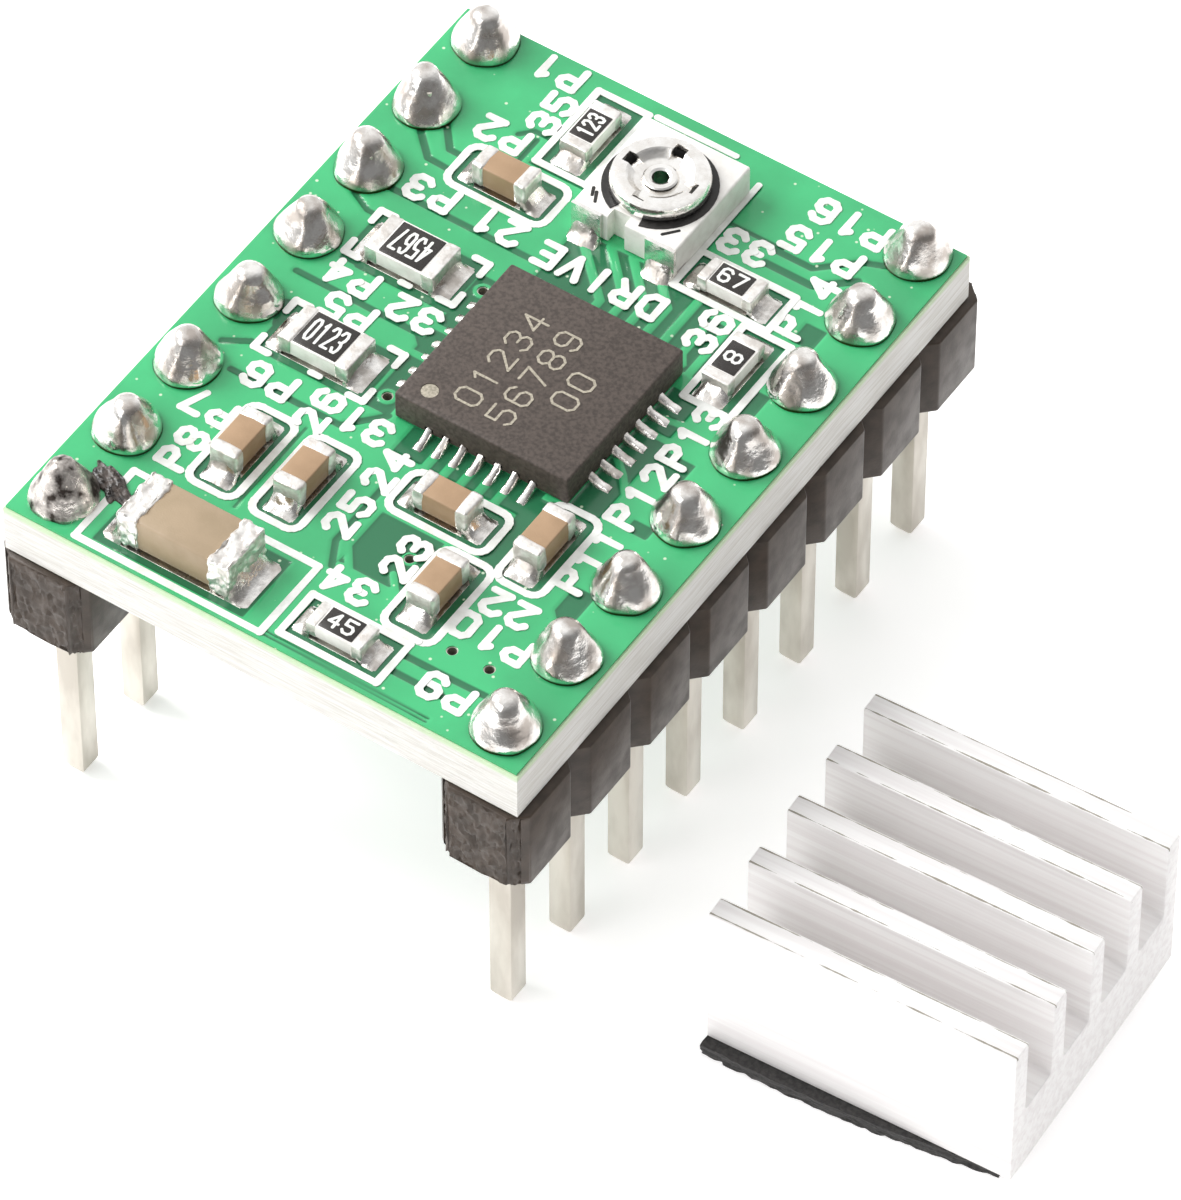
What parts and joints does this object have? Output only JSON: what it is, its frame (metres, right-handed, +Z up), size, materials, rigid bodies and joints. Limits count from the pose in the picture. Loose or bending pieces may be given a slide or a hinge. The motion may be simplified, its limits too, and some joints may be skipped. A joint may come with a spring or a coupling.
{
  "type": "stepper driver module",
  "caption": "Small green circuit board on two rows of pins that drives a stepper motor, with a power chip, a trimmer and a separate finned heat sink.",
  "frame": {"origin": "middle of the pin footprint, in the plane of the pin tips", "axes": "+Z up from the pin tips to the parts side, +Y along the pin rows towards the trimmer, +X across the rows towards the logic pins and the heat sink"},
  "size_m": [0.0272, 0.0204, 0.0115],
  "materials": {
    "laminate": "matt glass-fibre laminate",
    "copper": "copper, tin-plated at the pads",
    "solder_mask": "glossy green solder mask",
    "legend": "white printed ink",
    "header_plastic": "matt moulded plastic",
    "tinned_pin": "bright tin plating",
    "solder": "reflowed solder, satin",
    "mould_compound": "fine matt epoxy",
    "lead_metal": "matt tin",
    "silicon": "polished silicon",
    "gold": "bare gold wire",
    "alumina": "white ceramic",
    "carbon_film": "matt printed film",
    "stamped_metal": "bright stamped metal",
    "capacitor_ceramic": "satin ceramic",
    "resistor_glaze": "dark glaze",
    "anodised_aluminium": "clear anodised aluminium",
    "adhesive_pad": "foamed adhesive"
  },
  "bodies": {
    "module": {"board_core": "laminate", "copper_top": "copper", "copper_bottom": "copper", "solder_mask_top": "solder_mask", "solder_mask_bottom": "solder_mask", "silkscreen_top": "legend", "plated_barrels": "copper", "header_body_left": "header_plastic", "header_body_right": "header_plastic", "header_pins_left": "tinned_pin", "header_pins_right": "tinned_pin", "solder_joints_left": "solder", "solder_joints_right": "solder", "chip_package": "mould_compound", "chip_leads": "lead_metal", "chip_thermal_pad": "lead_metal", "chip_die": "silicon", "chip_bond_wires": "gold", "chip_solder": "solder", "pot_base": "alumina", "pot_track": "carbon_film", "pot_rivet": "stamped_metal", "pot_terminals": "stamped_metal", "pot_solder": "solder", "capacitor_1_body": "capacitor_ceramic", "capacitor_2_body": "capacitor_ceramic", "capacitor_3_body": "capacitor_ceramic", "capacitor_4_body": "capacitor_ceramic", "capacitor_5_body": "capacitor_ceramic", "capacitor_6_body": "capacitor_ceramic", "capacitor_7_body": "capacitor_ceramic", "capacitor_1_ends": "lead_metal", "capacitor_2_ends": "lead_metal", "capacitor_3_ends": "lead_metal", "capacitor_4_ends": "lead_metal", "capacitor_5_ends": "lead_metal", "capacitor_6_ends": "lead_metal", "capacitor_7_ends": "lead_metal", "resistor_1_ceramic": "alumina", "resistor_2_ceramic": "alumina", "resistor_3_ceramic": "alumina", "resistor_4_ceramic": "alumina", "resistor_5_ceramic": "alumina", "resistor_6_ceramic": "alumina", "resistor_1_glaze": "resistor_glaze", "resistor_2_glaze": "resistor_glaze", "resistor_3_glaze": "resistor_glaze", "resistor_4_glaze": "resistor_glaze", "resistor_5_glaze": "resistor_glaze", "resistor_6_glaze": "resistor_glaze", "resistor_1_ends": "lead_metal", "resistor_2_ends": "lead_metal", "resistor_3_ends": "lead_metal", "resistor_4_ends": "lead_metal", "resistor_5_ends": "lead_metal", "resistor_6_ends": "lead_metal", "passive_solder": "solder"},
    "trimmer_rotor": {"pot_rotor": "stamped_metal"},
    "heat_sink": {"heatsink": "anodised_aluminium", "heatsink_pad": "adhesive_pad"}
  },
  "joints": [
    {"name": "pot_wiper_turn", "type": "hinge", "parent": "module", "child": "trimmer_rotor", "pos_m": [0.00036, 0.00662, 0.0115], "axis": [0, 0, 1], "range_deg": [-130, 130]},
    {"name": "heatsink_lift", "type": "slide", "parent": "module", "child": "heat_sink", "axis": [0, 0, 1], "range_m": [0, 0.02]}
  ]
}
